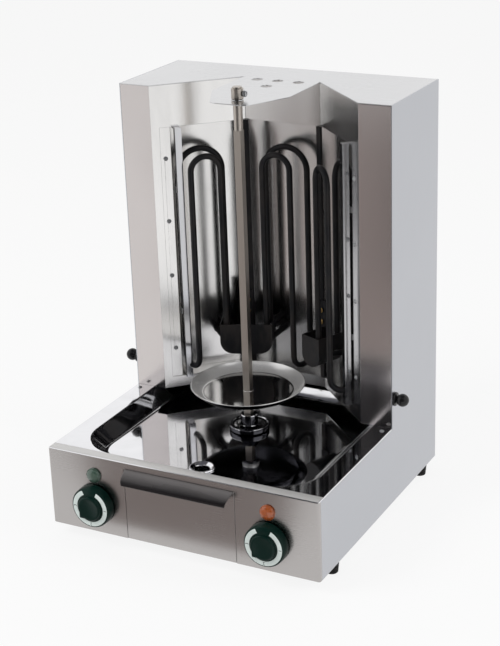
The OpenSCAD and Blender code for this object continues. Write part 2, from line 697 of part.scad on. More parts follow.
// tapered rubber feet, hollowed from below for their screws
module rubber_feet() placed() color(black) for (x = [-foot_x, foot_x], y = foot_rows) difference() {
    translate([x, y, 0]) rotate_extrude() polygon([[0, 0], [8.5, 0], [10.5, foot_h], [0, foot_h]]);
    rod_z([x, y], 2.6, -1, foot_h + 1);
    rod_z([x, y], 5, -1, 6);
}
module foot_screws() placed() color(zinc) for (x = [-foot_x, foot_x], y = foot_rows) {
    rod_z([x, y], 4.6, 3, 6);
    rod_z([x, y], 2.5, 6, base_z + 2 * sheet + 7);
    rod_z([x, y], 5, base_z + 2 * sheet, base_z + 2 * sheet + 4);
}
module casing_screws() placed() color(zinc) {
    for (x = [-back_screw_x, back_screw_x], z = back_screw_z) {
        rod_y(x, z, head_r, body_d, body_d + 2);
        rod_y(x, z, screw_r - 0.1, body_d - 5, body_d);
    }
    for (x = [-deck_screw.x, deck_screw.x]) {
        rod_z([x, deck_screw.y], head_r, rim_z, rim_z + 2);
        rod_z([x, deck_screw.y], screw_r - 0.1, rim_z - 6, rim_z);
    }
}
module chamber_screws() placed() color(zinc) both_sides() left_wall() for (z = chamber_screw_z) {
    rod_y(19, z, head_r, sheet - 2, sheet);
    rod_y(19, z, screw_r - 0.1, sheet, sheet + 5);
}

base_plate();
left_side_panel();
right_side_panel();
front_panel();
basin();
back_panel();
left_column_front();
right_column_front();
top_plate();
left_chamber_wall();
right_chamber_wall();
rear_chamber_wall();
chamber_ceiling();
chamber_floor();
left_reflector();
right_reflector();
rear_reflector();
left_heater();
right_heater();
rear_heater();
heater_posts();
corner_bars();
heater_clips();
left_terminal_cover();
right_terminal_cover();
heater_terminals();
gear_motor();
motor_bracket();
shaft_bush();
drive_shaft();
drive_hub();
spit_rod();
spit_dish();
top_bearing();
top_collar();
thumb_screw();
drain_spout();
drawer_front();
drawer_handle();
drawer_pan();
drawer_runners();
left_regulator();
right_regulator();
left_knob();
right_knob();
left_knob_shaft();
right_knob_shaft();
green_lamp();
orange_lamp();
lamp_housings();
left_clamp_knob();
right_clamp_knob();
clamp_nuts();
terminal_block();
cable_gland();
wiring();
rubber_feet();
foot_screws();
casing_screws();
chamber_screws();
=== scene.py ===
"""The looks of a compact electric skewer grill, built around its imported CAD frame.

Lengths are in millimetres, and places are in the part source's own coordinates: X to the right,
Y back from the outer face of the front panel, Z up from the floor. at() turns a place into metres
in the frame.
"""

import math

import bmesh
import bpy
from mathutils import Matrix, Vector


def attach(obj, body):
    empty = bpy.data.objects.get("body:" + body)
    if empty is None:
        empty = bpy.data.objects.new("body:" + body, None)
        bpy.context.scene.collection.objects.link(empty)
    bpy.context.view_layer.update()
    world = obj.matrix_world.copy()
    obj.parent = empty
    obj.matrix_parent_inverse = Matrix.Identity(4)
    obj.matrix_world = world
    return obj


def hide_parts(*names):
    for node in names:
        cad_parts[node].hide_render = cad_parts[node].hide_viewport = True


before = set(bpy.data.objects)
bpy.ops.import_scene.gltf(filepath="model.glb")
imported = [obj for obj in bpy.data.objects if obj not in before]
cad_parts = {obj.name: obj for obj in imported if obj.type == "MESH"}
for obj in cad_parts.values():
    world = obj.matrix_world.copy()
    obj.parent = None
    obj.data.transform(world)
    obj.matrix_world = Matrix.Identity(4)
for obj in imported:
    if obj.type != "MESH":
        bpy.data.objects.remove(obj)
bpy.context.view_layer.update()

MM = 0.001
FRAME_Y = 195.5
TAU = 2 * math.pi
TO_FRAME = Matrix.Scale(MM, 4) @ Matrix.Translation((0, -FRAME_Y, 0))


def at(x, y, z):
    return TO_FRAME @ Vector((x, y, z))


def place(x, y, z, axis="+Z"):
    """Matrix from a local frame in millimetres, whose Z points along axis, to the frame in metres."""
    turn = {
        "+Z": Matrix.Identity(4),
        "-Z": Matrix.Rotation(math.pi, 4, "X"),
        "-Y": Matrix.Rotation(math.pi / 2, 4, "X"),
        "+Y": Matrix.Rotation(-math.pi / 2, 4, "X"),
        "+X": Matrix.Rotation(math.pi / 2, 4, "Y"),
        "-X": Matrix.Rotation(-math.pi / 2, 4, "Y"),
    }[axis]
    return TO_FRAME @ Matrix.Translation((x, y, z)) @ turn


# ---------------------------------------------------------------- materials


class Shader:
    """A principled material with short ways to add and link nodes."""

    def __init__(self, name, colour, metallic=0.0, roughness=0.5):
        self.material = bpy.data.materials.new(name)
        self.material.use_nodes = True
        self.tree = self.material.node_tree
        self.base = self.tree.nodes["Principled BSDF"]
        self.base.inputs["Base Color"].default_value = (*colour, 1)
        self.base.inputs["Metallic"].default_value = metallic
        self.base.inputs["Roughness"].default_value = roughness

    def add(self, kind, inputs=(), **values):
        node = self.tree.nodes.new(kind)
        for key, value in values.items():
            setattr(node, key, value)
        for key, value in dict(inputs).items():
            if isinstance(value, bpy.types.NodeSocket):
                self.tree.links.new(value, node.inputs[key])
            else:
                node.inputs[key].default_value = value
        return node.outputs[0]

    def place(self, scale=(1, 1, 1)):
        coords = self.tree.nodes.new("ShaderNodeTexCoord").outputs["Object"]
        return self.add("ShaderNodeMapping", {"Vector": coords, "Scale": scale})

    def noise(self, scale, detail=2.0, stretch=(1, 1, 1), distortion=0.0):
        return self.add(
            "ShaderNodeTexNoise",
            {"Vector": self.place(stretch), "Scale": scale, "Detail": detail, "Distortion": distortion},
        )

    def spread(self, value, low, high, start=0.3, end=0.7):
        return self.add("ShaderNodeMapRange", {0: value, 1: start, 2: end, 3: low, 4: high})

    def mix(self, factor, a, b):
        node = self.tree.nodes.new("ShaderNodeMix")
        node.data_type = "RGBA"
        self.tree.links.new(factor, node.inputs["Factor"])
        node.inputs[6].default_value = (*a, 1)
        node.inputs[7].default_value = (*b, 1)
        return node.outputs[2]

    def to(self, socket, value):
        self.tree.links.new(value, self.base.inputs[socket])

    def bump(self, height, distance, strength=1.0, normal=None):
        inputs = {"Height": height, "Distance": distance * MM, "Strength": strength}
        if normal:
            inputs["Normal"] = normal
        return self.add("ShaderNodeBump", inputs)


def shade(colour, factor):
    return tuple(min(1.0, c * factor) for c in colour)


def brushed(name, colour, roughness, along="X", wave=0.0, metal=1.0):
    """Steel sheet with a fine grain along one axis, faint clouding, and a soft large wave."""
    s = Shader(name, colour, metal, roughness)
    stretch = [1.0, 1.0, 1.0]
    stretch["XYZ".index(along)] = 0.01
    grain = s.noise(1900, 3, stretch)
    cloud = s.noise(7, 4)
    s.to("Base Color", s.mix(s.spread(grain, 0, 1, 0.25, 0.75), shade(colour, 0.98), shade(colour, 1.02)))
    rough = s.add("ShaderNodeMath", {0: s.spread(grain, roughness - 0.015, roughness + 0.015),
                                     1: s.spread(cloud, -0.02, 0.03)}, operation="ADD")
    s.to("Roughness", rough)
    normal = s.bump(grain, 0.001, 0.12)
    if wave:
        normal = s.bump(s.noise(4, 1), wave, 1.0, normal)
    s.to("Normal", normal)
    return s.material


def polished(name, colour, roughness=0.05, wave=0.12, edge=1.0):
    """Mirror-finished sheet: slightly wavy, with faint smears; edge is how bright it is seen aslant."""
    s = Shader(name, colour, 1.0, roughness)
    s.base.inputs["Specular Tint"].default_value = (edge, edge, edge, 1)
    smear = s.noise(30, 5, (1, 1, 0.25), 0.6)
    s.to("Roughness", s.spread(smear, roughness, roughness + 0.06, 0.4, 0.75))
    s.to("Base Color", s.mix(s.spread(smear, 0, 1), colour, shade(colour, 0.94)))
    s.to("Normal", s.bump(s.noise(5, 1), wave, 1.0))
    return s.material


def oxide(name, colour, warm, roughness):
    """Black heat-resistant finish with slight warm and grey patches."""
    s = Shader(name, colour, 0.2, roughness)
    s.base.inputs["Specular IOR Level"].default_value = 0.25
    patch = s.noise(60, 6, (1, 1, 0.4))
    s.to("Base Color", s.mix(s.spread(patch, 0, 1, 0.45, 0.75), colour, warm))
    s.to("Roughness", s.spread(patch, roughness - 0.08, roughness + 0.12))
    s.to("Normal", s.bump(s.noise(900, 2), 0.03, 0.5))
    return s.material


def moulded(name, colour, roughness, grain=0.02, gloss=0.5):
    """Moulded plastic, rubber or ceramic with a fine surface grain."""
    s = Shader(name, colour, 0.0, roughness)
    s.base.inputs["Specular IOR Level"].default_value = gloss
    fine = s.noise(700, 3)
    s.to("Base Color", s.mix(s.spread(s.noise(25, 3), 0, 1), shade(colour, 0.85), shade(colour, 1.12)))
    s.to("Roughness", s.spread(fine, roughness - 0.05, roughness + 0.07))
    s.to("Normal", s.bump(fine, grain, 0.4))
    return s.material


def painted_shade_fade(name, low_colour, high_colour, low_z, high_z, roughness):
    """Dark finish with painted shade: near-black low down, fading to steel grey higher up, by height alone.
    """
    s = Shader(name, low_colour, 0.0, roughness)
    s.base.inputs["Specular IOR Level"].default_value = 0.3
    height = s.add("ShaderNodeSeparateXYZ", {"Vector": s.place()}).node.outputs["Z"]
    cloud = s.spread(s.noise(60, 4, (0.2, 1, 1)), -0.12, 0.12)
    fade = s.add("ShaderNodeMath", {0: s.spread(height, 0, 1, low_z * MM, high_z * MM), 1: cloud},
                 operation="ADD", use_clamp=True)
    s.to("Base Color", s.mix(fade, low_colour, high_colour))
    s.to("Roughness", s.spread(cloud, roughness - 0.05, roughness + 0.08, -0.1, 0.1))
    s.to("Normal", s.bump(s.noise(1500, 2), 0.004, 0.3))
    return s.material


def lens(name, colour):
    """Coloured lamp lens: clear plastic over a faceted diffuser."""
    s = Shader(name, colour, 0.0, 0.12)
    s.base.inputs["Transmission Weight"].default_value = 0.25
    s.base.inputs["Coat Weight"].default_value = 0.6
    cells = s.add("ShaderNodeTexVoronoi", {"Vector": s.place(), "Scale": 600.0})
    s.to("Base Color", s.mix(s.spread(cells, 0, 1, 0.0, 0.8), shade(colour, 1.15), shade(colour, 0.6)))
    s.to("Normal", s.bump(cells, 0.15, 0.6))
    return s.material


# One stainless steel in copies of different brightness, which is painted light and shade: lightest on the top
# plate, darker on the side panels and darkest on the front panel, pinkish on the column fronts and brownish
# on the spit. Grain direction and roughness differ for real.
STEEL_LIT_AND_SHADED = {
    "side": brushed("steel_side", (0.53, 0.54, 0.57), 0.33, "Z"),
    "column": brushed("steel_column", (0.62, 0.58, 0.57), 0.18, "Z", 0.1),
    "top": brushed("steel_top", (0.66, 0.66, 0.67), 0.26, "X"),
    "front": brushed("steel_front", (0.47, 0.45, 0.44), 0.24, "X", 0.06),
    "plain": brushed("steel_plain", (0.55, 0.55, 0.55), 0.38, "X"),
    # paler and partly non-metallic: a painted highlight along the front flange
    "flange": brushed("steel_flange_painted_highlight", (0.66, 0.65, 0.64), 0.36, "X", 0.0, 0.35),
    "spit": brushed("steel_spit", (0.47, 0.43, 0.39), 0.30, "Z"),
}
MIRROR_GREY = polished("steel_mirror_grey", (0.60, 0.60, 0.62), 0.1)
DISH = polished("steel_dish", (0.74, 0.73, 0.72), 0.06, 0.0)
# near-black copy of the dish steel with dimmed edge reflections: painted shade on the dish's underside and on
# the turning disc's sides and underside
DISH_PAINTED_SHADE = polished("steel_dish_painted_shade", (0.08, 0.08, 0.09), 0.12, 0.0, 0.4)
# paler, partly non-metallic copy of the dish steel: a painted sheen on the dish's rising rim band
DISH_RIM_PAINTED_SHEEN = brushed("steel_dish_rim_painted_sheen", (0.80, 0.79, 0.78), 0.26, "Z", 0.0, 0.6)
MIRROR_BASIN = polished("steel_mirror_basin", (0.84, 0.84, 0.86), 0.04, 0.08)
SATIN = polished("steel_satin", (0.84, 0.83, 0.82), 0.17)
BLACK = oxide("heater_black", (0.012, 0.012, 0.014), (0.035, 0.03, 0.028), 0.38)
ZINC = brushed("zinc", (0.52, 0.53, 0.54), 0.4, "Z")
CERAMIC = moulded("ceramic", (0.75, 0.72, 0.64), 0.5)
BRONZE = brushed("bronze", (0.5, 0.33, 0.13), 0.4, "Z")
# the drawer lip's near-black colour and its fade to grey higher up are painted shade
LIP_PAINTED_SHADE = painted_shade_fade("lip_painted_shade", (0.010, 0.008, 0.009), (0.16, 0.15, 0.15), 111.0, 119.5, 0.28)
PHENOLIC = moulded("phenolic_black", (0.02, 0.02, 0.022), 0.4)
KNOB = moulded("knob_green_black", (0.004, 0.019, 0.015), 0.22, 0.01, 0.15)
PRINT = moulded("dial_print", (0.76, 0.84, 0.81), 0.45, 0.005)
BALL = moulded("ball_black", (0.010, 0.010, 0.011), 0.16, 0.004, 0.3)
RUBBER = moulded("rubber", (0.015, 0.015, 0.015), 0.7, 0.05, 0.2)
WIRE = moulded("wire_brown", (0.16, 0.07, 0.03), 0.4)
LENS_GREEN = lens("lens_green", (0.10, 0.17, 0.13))
LENS_ORANGE = lens("lens_orange", (0.62, 0.15, 0.04))

# ---------------------------------------------------------------- building pieces


def thickened(mesh, thickness):
    """The mesh as a sheet of that thickness, grown away from its normals."""
    ob = bpy.data.objects.new(mesh.name, mesh)
    bpy.context.scene.collection.objects.link(ob)
    skin = ob.modifiers.new("thickness", "SOLIDIFY")
    skin.thickness, skin.offset = thickness * MM, -1
    bpy.context.view_layer.update()
    solid = bpy.data.meshes.new_from_object(ob.evaluated_get(bpy.context.evaluated_depsgraph_get()))
    bpy.data.objects.remove(ob)
    bpy.data.meshes.remove(mesh)
    return solid


def piece(bm, name, material, body, stands_for=(), slot=None, sharp=35, thickness=0.0, bands=()):
    """Turns a mesh under construction into a shown piece that rides on a body.

    Each (limit, material) band gives its material to the faces whose normal rises less than its limit, which
    paints shade or sheen by the way a face points.
    """
    mesh = bpy.data.meshes.new(name)
    bmesh.ops.remove_doubles(bm, verts=bm.verts, dist=1e-6)
    if not thickness:
        bmesh.ops.recalc_face_normals(bm, faces=bm.faces)
    bm.to_mesh(mesh)
    bm.free()
    if thickness:
        mesh = thickened(mesh, thickness)
    mesh.shade_smooth()
    mesh.set_sharp_from_angle(angle=math.radians(sharp))
    ob = bpy.data.objects.new(name, mesh)
    bpy.context.scene.collection.objects.link(ob)
    mesh.materials.append(material)
    for index, (limit, finish) in enumerate(bands, 1):
        mesh.materials.append(finish)
        for face in mesh.polygons:
            if face.material_index == 0 and face.normal.z < limit:
                face.material_index = index
    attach(ob, body)
    if stands_for:
        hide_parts(*stands_for)
    return ob


def skin_rings(bm, rings, closed=False):
    """Faces between each ring of vertices and the next; a ring of one vertex is a tip."""
    pairs = list(zip(rings, rings[1:]))
    if closed:
        pairs.append((rings[-1], rings[0]))
    for a, b in pairs:
        count = max(len(a), len(b))
        for i in range(count if count > 1 else 0):
            j = (i + 1) % count
            corners = [a[i % len(a)], a[j % len(a)], b[j % len(b)], b[i % len(b)]]
            bm.faces.new(list(dict.fromkeys(corners)))


def lathe(bm, profile, matrix, steps=64, closed=False, flutes=0.0, fluted=()):
    """Revolves (radius, height) points about the local Z axis; fluted points get shallow flutes."""
    rings = []
    for index, (r, z) in enumerate(profile):
        if r < 1e-6:
            rings.append([bm.verts.new(matrix @ Vector((0, 0, z)))])
            continue
        ring = []
        for i in range(steps):
            radius = r - (flutes if index in fluted and i % 2 else 0.0)
            angle = TAU * i / steps
            spot = Vector((radius * math.cos(angle), radius * math.sin(angle), z))
            ring.append(bm.verts.new(matrix @ spot))
        rings.append(ring)
    skin_rings(bm, rings, closed)


def turned(name, profile, matrix, material, body, steps=64, closed=False, **more):
    bm = bmesh.new()
    flutes = {k: more.pop(k) for k in ("flutes", "fluted") if k in more}
    lathe(bm, profile, matrix, steps, closed, **flutes)
    return piece(bm, name, material, body, **more)


def arc(centre, radius, start, end, steps):
    """Points of an arc in a plane, angles in degrees."""
    for i in range(steps + 1):
        a = math.radians(start + (end - start) * i / steps)
        yield centre[0] + radius * math.cos(a), centre[1] + radius * math.sin(a)


def layered(bm, outlines, matrix):
    """Closed solid through (outline, height) layers with the same number of points."""
    rings = [[bm.verts.new(matrix @ Vector((x, y, z))) for x, y in outline] for outline, z in outlines]
    skin_rings(bm, rings)
    bm.faces.new(rings[0])
    bm.faces.new(rings[-1])


def scaled(outline, factor):
    return [(x * factor, y * factor) for x, y in outline]


def dress(node, material, bevel):
    """Gives a CAD node its material and, where bevel isn't 0, soft edges."""
    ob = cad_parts[node]
    ob.data.materials.clear()
    ob.data.materials.append(material)
    if bevel:
        weld = ob.modifiers.new("weld", "WELD")
        weld.merge_threshold = 0.005 * MM
        edge = ob.modifiers.new("edges", "BEVEL")
        edge.width = bevel * MM
        edge.segments = 2
        edge.limit_method = "ANGLE"
        edge.angle_limit = math.radians(50)
        edge.harden_normals = True
        ob.modifiers.new("flat_faces", "WEIGHTED_NORMAL").keep_sharp = True


for nodes, material, bevel in (
    (("left_side_panel", "right_side_panel"), STEEL_LIT_AND_SHADED["side"], 0.0),
    (("left_column_front", "right_column_front"), STEEL_LIT_AND_SHADED["column"], 0.4),
    (("top_plate", "top_bearing"), STEEL_LIT_AND_SHADED["top"], 0.4),
    (("front_panel", "drawer_front"), STEEL_LIT_AND_SHADED["front"], 0.25),
    (("base_plate", "back_panel", "drawer_pan"), STEEL_LIT_AND_SHADED["plain"], 0.4),
    (("left_chamber_wall", "right_chamber_wall", "rear_chamber_wall", "left_reflector", "right_reflector",
      "rear_reflector", "chamber_ceiling", "chamber_floor"), SATIN, 0.35),
    (("heater_posts",), MIRROR_GREY, 0.35),
    (("corner_bars", "left_terminal_cover", "right_terminal_cover"), BLACK, 0.5),
    (("heater_clips", "gear_motor", "motor_bracket", "drawer_runners", "clamp_nuts", "foot_screws",
      "left_knob_shaft", "right_knob_shaft", "drive_shaft"), ZINC, 0.0),
    (("heater_terminals", "terminal_block"), CERAMIC, 0.0),
    (("shaft_bush",), BRONZE, 0.0),
    (("spit_rod",), STEEL_LIT_AND_SHADED["spit"], 0.6),
    (("left_regulator", "right_regulator", "lamp_housings"), PHENOLIC, 0.0),
    (("wiring",), WIRE, 0.0),
):
    for node in nodes:
        dress(node, material, bevel)

# ---------------------------------------------------------------- basin

BODY_HALF, INNER_HALF, BODY_D, SHEET, EDGE_R = 200.0, 198.4, 396.0, 1.2, 3.0
RIM_Z, FLOOR_Z, TOP_Z = 130.0, 109.0, 574.0
BASIN_HALF, BASIN_FRONT, BASIN_REAR, BASIN_R = 170.0, 18.0, 340.0, 60.0
DECK_STEP_Y, DECK_REAR_Y = 233.6, 393.0
DRAIN_Y, DRAIN_HOLE_R = 64.0, 12.3
SPIT_Y, SHAFT_HOLE_R = 200.0, 8.3
CORNER_STEPS = 18


def rounded_plan(half, front, rear, radius):
    corners = ((half - radius, rear - radius, 0), (radius - half, rear - radius, 90),
               (radius - half, front + radius, 180), (half - radius, front + radius, 270))
    return [p for x, y, turn in corners for p in arc((x, y), radius, turn, turn + 90, CORNER_STEPS)]


def loop(bm, outline, z):
    ring = [bm.verts.new(at(x, y, z)) for x, y in outline]
    return ring, [bm.edges.new(pair) for pair in zip(ring, ring[1:] + ring[:1])]


def deck_plan(inset):
    """Outline of the deck: wide and round-cornered in front of the columns, narrower between them."""
    left = list(arc((EDGE_R - BODY_HALF, EDGE_R), EDGE_R - inset, 180, 270, 6))
    front = left + [(-x, y) for x, y in reversed(left)]
    side = [(BODY_HALF - inset, DECK_STEP_Y), (INNER_HALF, DECK_STEP_Y + 0.2), (INNER_HALF, DECK_REAR_Y)]
    return front + side + [(-x, y) for x, y in reversed(side)]


def make_basin():
    """Pressed drip basin with its flat deck, holes for the drain and the drive, and rounded edges."""
    bm = bmesh.new()
    rolled = [loop(bm, deck_plan(inset), z)
              for inset, z in ((0, 128.95), (0.1, 129.4), (0.45, 129.8), (1.0, RIM_Z), (1.4, RIM_Z))]
    profile = [(-4, RIM_Z), (-3.2, RIM_Z)]
    profile += [(-3 + r, RIM_Z - 4 + z) for r, z in arc((0, 0), 4, 78, 46, 4)]
    profile += [(1.6, 126.0), (14.6, 114.3)]
    profile += [(23.5 + r, 119.2 + z) for r, z in arc((0, 0), 10.2, 228, 268, 5)]
    profile += [(25.5, FLOOR_Z), (27, FLOOR_Z)]
    layers = [(rounded_plan(BASIN_HALF - inset, BASIN_FRONT + inset, BASIN_REAR - inset,
                            BASIN_R - 0.8 * inset), z) for inset, z in profile]
    rings = [[bm.verts.new(at(x, y, z)) for x, y in outline] for outline, z in layers]
    skin_rings(bm, [ring for ring, _ in rolled])
    skin_rings(bm, rings)
    bm.edges.ensure_lookup_table()
    around = [bm.edges.get(pair) for pair in zip(rings[0], rings[0][1:] + rings[0][:1])]
    bmesh.ops.triangle_fill(bm, edges=around + rolled[-1][1], use_beauty=True)
    edges = [bm.edges.get(pair) for pair in zip(rings[-1], rings[-1][1:] + rings[-1][:1])]
    for y, radius in ((DRAIN_Y, DRAIN_HOLE_R), (SPIT_Y, SHAFT_HOLE_R)):
        edges += loop(bm, list(arc((0, y), radius, 0, 345, 23)), FLOOR_Z)[1]
    bmesh.ops.triangle_fill(bm, edges=edges, use_beauty=True)
    bmesh.ops.recalc_face_normals(bm, faces=bm.faces)
    bm.normal_update()
    if sum(f.normal.z * f.calc_area() for f in bm.faces) < 0:
        bmesh.ops.reverse_faces(bm, faces=bm.faces)
    return piece(bm, "basin_tray", MIRROR_BASIN, "casing", ["basin"], "mirror_steel", 30, 1.1)


make_basin()


def make_front_flange():
    """The front panel's top edge, folded back over the deck's front strip."""
    bm = bmesh.new()
    outline = [(0.9, 130.0), (0.9, 130.12), (1.3, 130.3), (15.4, 130.3), (15.7, 130.15), (15.7, 130.0)]
    rings = [[bm.verts.new(at(x, y, z)) for y, z in outline] for x in (-INNER_HALF, INNER_HALF)]
    skin_rings(bm, rings)
    bm.faces.new(rings[0])
    bm.faces.new(rings[-1])
    piece(bm, "front_flange", STEEL_LIT_AND_SHADED["flange"], "casing", slot="front_steel")


make_front_flange()

DRAIN_PROFILE = [(10, -22), (12, -22), (12, -1.4), (12.4, 0), (16.5, 0), (17.5, 0.8), (17.5, 1.6),
                 (16.8, 2.4), (15.6, 2.5), (14.4, 2.1), (13, 1.2), (11.4, 0.4), (10.2, -0.8), (10, -2)]
turned("drain_rim", DRAIN_PROFILE, place(0, DRAIN_Y, FLOOR_Z), MIRROR_BASIN, "casing", closed=True,
       stands_for=["drain_spout"], slot="mirror_steel")

# ---------------------------------------------------------------- heating elements

WALL_START, WALL_END = Vector((-154.0, 234.0, 0)), Vector((-57.0, 328.0, 0))
WALL_L = (WALL_END - WALL_START).length
ALONG = (WALL_END - WALL_START) / WALL_L
OUT = Vector((-ALONG.y, ALONG.x, 0))
TUBE_R, FRONT_HALF, REAR_HALF = 4.25, 21.0, 32.0
FRONT_T, REAR_T, END_T, BEND_R = -26.0, 6.0, 42.0, 9.0
LOOP_TOP, LOOP_BOTTOM = 483.0, 160.0
TURN_STEPS = 28


def left_wall(s, t, z):
    p = WALL_START + ALONG * s + OUT * t
    return p.x, p.y, z


def right_wall(s, t, z):
    x, y, z = left_wall(s, t, z)
    return -x, y, z


def rear_wall(s, t, z):
    return WALL_END.x + s, WALL_END.y + t, z


def heater_path(mid, side):
    """One unbroken tube in a wall's own frame: out, up, over, down, under, up, over, down, out."""
    near, far = side * FRONT_HALF, side * REAR_HALF
    near_top = LOOP_TOP - 4 - TUBE_R - FRONT_HALF
    far_top = LOOP_TOP - TUBE_R - REAR_HALF
    low, high = LOOP_BOTTOM + 40, LOOP_BOTTOM + 54
    turn_r = math.hypot(REAR_HALF - FRONT_HALF, REAR_T - FRONT_T) / 2
    turn_z = LOOP_BOTTOM + TUBE_R + turn_r
    path = [(mid + near, END_T, low)]
    path += [(mid + near, t, z) for t, z in arc((FRONT_T + BEND_R, low + BEND_R), BEND_R, 270, 180, 8)]
    path += [(mid + side * u, FRONT_T, z) for u, z in arc((0, near_top), FRONT_HALF, 0, 180, TURN_STEPS)]
    for i in range(TURN_STEPS + 1):
        a = math.pi * i / TURN_STEPS
        mix = (1 - math.cos(a)) / 2
        path.append((mid - near - (far - near) * mix, FRONT_T + (REAR_T - FRONT_T) * mix,
                     turn_z - turn_r * math.sin(a)))
    path += [(mid + side * u, REAR_T, z) for u, z in arc((0, far_top), REAR_HALF, 180, 0, 32)]
    path += [(mid + far, t, z) for t, z in arc((REAR_T + BEND_R, high + BEND_R), BEND_R, 180, 270, 8)]
    path.append((mid + far, END_T, high))
    return path


def tube(name, points, radius, material, body, sides=16, **more):
    """A round tube along a path of frame positions, with flat ends."""
    bm = bmesh.new()
    points = [at(*p) for p in points]
    rings, side = [], None
    for i, p in enumerate(points):
        ahead = (points[min(i + 1, len(points) - 1)] - points[max(i - 1, 0)]).normalized()
        side = (ahead.orthogonal() if side is None else side - ahead * side.dot(ahead)).normalized()
        other = ahead.cross(side)
        rings.append([bm.verts.new(p + (side * math.cos(TAU * k / sides) + other * math.sin(TAU * k / sides))
                                   * radius * MM) for k in range(sides)])
    skin_rings(bm, rings)
    bm.faces.new(rings[0])
    bm.faces.new(rings[-1])
    return piece(bm, name, material, body, **more)


for name, wall, mid, side in (("left", left_wall, WALL_L / 2, 1), ("right", right_wall, WALL_L / 2, 1),
                              ("rear", rear_wall, -WALL_END.x, -1)):
    tube(name + "_element", [wall(*p) for p in heater_path(mid, side)], TUBE_R, BLACK, "casing",
         stands_for=[name + "_heater"], slot="heater_black", sharp=60)

# ---------------------------------------------------------------- spit and drive

DISH_Z, HUB_Z = 166.0, 113.0
DISH_R, DISH_FLAT, DISH_H = 79.0, 62.0, 12.0


def dish_rise(r):
    return (DISH_H - 1.4) * (max(0.0, r - DISH_FLAT) / (DISH_R - DISH_FLAT)) ** 2


RISE_RADII = range(58, 79, 2)
below = [(r, dish_rise(r)) for r in RISE_RADII]
inside = [(r - 0.8, dish_rise(r) + 1.2) for r in reversed(RISE_RADII)]
dish_profile = [(0, -8), (11, -8), (12, -7), (12, -1), (12.6, 0), (20, 0), (40, 0)] + below
dish_profile += [(78.8, 10.5), (79, 11), (79, 11.6), (78.7, 12), (78.2, 12), (77.8, 11.6)] + inside
dish_profile += [(40, 1.2), (12, 1.2), (7.4, 1.2), (7.2, 1.6), (0, 1.6)]
# how far the normals of faces rise at most: below the first, the dish's underside gets painted shade; below
# the second, its rising band gets a painted sheen;
# below the third, the disc's sides and underside get painted shade
DOWNWARD, RISING, DISC_SIDE = -0.2, 0.985, 0.3
turned("dish", dish_profile, place(0, SPIT_Y, DISH_Z), DISH, "spit", 96, stands_for=["spit_dish"],
       slot="mirror_steel", bands=((DOWNWARD, DISH_PAINTED_SHADE), (RISING, DISH_RIM_PAINTED_SHEEN)))
DISC_PROFILE = [(0, 0), (22.5, 0), (22.8, -2.6), (26.6, -2.6), (27.5, -1.8), (27.5, 3.6), (27.1, 4.6),
                (26.5, 4.9), (25.9, 4.5), (25.2, 3.2), (23.5, 2.8), (14.5, 2.8), (12.6, 3.8), (12, 5.4),
                (12, 17.8), (11.2, 19), (7.3, 19), (7.3, 5), (0, 5)]
turned("turning_disc", DISC_PROFILE, place(0, SPIT_Y, HUB_Z), MIRROR_GREY, "drive",
       stands_for=["drive_hub"], slot="mirror_steel", bands=((DISC_SIDE, DISH_PAINTED_SHADE),))
COLLAR_Z, COLLAR_MID = TOP_Z + 1.2, 7
turned("collar", [(6.03, 0), (7.5, 0), (8, 0.5), (8, 13.5), (7.5, 14), (6.03, 14)],
       place(0, SPIT_Y, COLLAR_Z), STEEL_LIT_AND_SHADED["spit"], "spit", closed=True, stands_for=["top_collar"],
       slot="spit_steel")
SCREW_PROFILE = [(0, 6.3), (1.95, 6.3), (1.95, 8.6), (3.4, 8.6), (4, 9.2), (4, 12.2), (3.5, 13), (2.6, 13),
                 (2.2, 12.4), (0, 12.4)]
turned("knurled_screw", SCREW_PROFILE, place(0, SPIT_Y, COLLAR_Z + COLLAR_MID, "+X"), ZINC, "thumb_screw",
       48, flutes=0.35, fluted=(4, 5), stands_for=["thumb_screw"], slot="zinc")

# ---------------------------------------------------------------- knobs and lamps

KNOB_X, KNOB_Z, LAMP_Z = 129.0, 60.0, 102.0
FACE, GRIP_R, GRIP_CORNER = 15.0, 17.0, 15.5
PRINT_IN, PRINT_OUT, PRINT_GAP, PRINT_T = 20.0, 26.2, 25.0, 0.12
NUMBER_SIZE, NUMBER_LIFT = 6.0, 0.15


def grip_outline():
    """Round outline with one soft corner low on the left, which points to the setting."""
    points = list(arc((0, 0), GRIP_R, -114.2, 204.2, 56))
    points += list(arc((1.6 - GRIP_CORNER, 1.6 - GRIP_CORNER), 1.6, 180, 270, 6))
    return points


def number(text, x, z, size, y, turn, name, body):
    """One plain printed number on a dial, as a thin solid."""
    curve = bpy.data.curves.new(name, "FONT")
    curve.body, curve.size, curve.extrude = text, size * MM, 0.05 * MM
    curve.align_x, curve.align_y = "CENTER", "CENTER"
    text_ob = bpy.data.objects.new(name + "_text", curve)
    bpy.context.scene.collection.objects.link(text_ob)
    bpy.context.view_layer.update()
    mesh = bpy.data.meshes.new_from_object(text_ob.evaluated_get(bpy.context.evaluated_depsgraph_get()))
    bpy.data.objects.remove(text_ob)
    mesh.transform(Matrix.Translation(at(x, y, z)) @ Matrix.Rotation(math.pi / 2, 4, "X")
                   @ Matrix.Rotation(turn, 4, "Z"))
    bm = bmesh.new()
    bm.from_mesh(mesh)
    bpy.data.meshes.remove(mesh)
    return piece(bm, name, KNOB, body, slot="knob_green")


